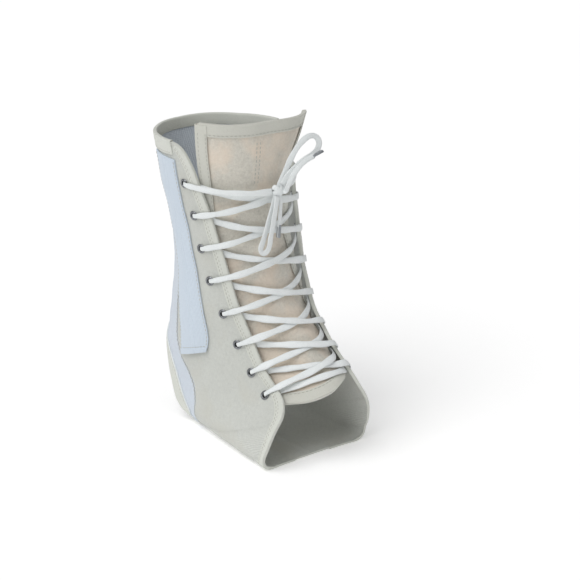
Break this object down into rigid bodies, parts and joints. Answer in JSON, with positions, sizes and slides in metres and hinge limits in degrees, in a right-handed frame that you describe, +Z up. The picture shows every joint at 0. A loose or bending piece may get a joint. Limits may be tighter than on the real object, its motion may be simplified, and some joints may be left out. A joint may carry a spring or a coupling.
{
  "type": "ankle brace",
  "caption": "Lace-up canvas ankle brace for a right foot, open at the heel, with a padded tongue, elastic back and side stay pockets.",
  "frame": {"origin": "on the floor under the middle of the brace, the free ends and loops of its bow left out", "axes": "+Z up, -Y towards the toes, -X the outer (lateral) side of a right foot"},
  "size_m": [0.0974, 0.1672, 0.2322],
  "materials": {
    "canvas": "undyed woven cotton canvas, matte",
    "tape": "woven binding tape, matte",
    "tongue_cloth": "brushed cotton canvas, lightly napped",
    "elastic": "ribbed woven elastic, matte",
    "webbing": "ribbed woven webbing, matte",
    "lace_cotton": "flat woven shoelace, matte",
    "nickel": "dull nickel plate",
    "lace_tip": "shrunk film over the lace, semi-gloss"
  },
  "bodies": {
    "root": {"lateral_quarter": "canvas", "lateral_front_binding": "tape", "lateral_top_hem": "tape", "lateral_heel_elastic": "elastic", "lateral_heel_binding": "tape", "lateral_stay_pocket": "webbing", "lateral_eyelet_1": "nickel", "lateral_eyelet_2": "nickel", "lateral_eyelet_3": "nickel", "lateral_eyelet_4": "nickel", "lateral_eyelet_5": "nickel", "lateral_eyelet_6": "nickel", "lateral_eyelet_7": "nickel", "lateral_eyelet_8": "nickel", "medial_quarter": "canvas", "medial_front_binding": "tape", "medial_top_hem": "tape", "medial_heel_elastic": "elastic", "medial_heel_binding": "tape", "medial_stay_pocket": "webbing", "medial_eyelet_1": "nickel", "medial_eyelet_2": "nickel", "medial_eyelet_3": "nickel", "medial_eyelet_4": "nickel", "medial_eyelet_5": "nickel", "medial_eyelet_6": "nickel", "medial_eyelet_7": "nickel", "medial_eyelet_8": "nickel", "tongue": "tongue_cloth", "tongue_top_tape": "tape", "tongue_lower_tape": "tape", "tongue_lateral_tape": "tape", "tongue_medial_tape": "tape", "lace": "lace_cotton", "lace_knot": "lace_cotton", "bow_upper_loop": "lace_cotton", "bow_upper_end": "lace_cotton", "bow_lower_loop": "lace_cotton", "bow_lower_end": "lace_cotton", "lace_tip_upper": "lace_tip", "lace_tip_lower": "lace_tip"}
  },
  "joints": []
}
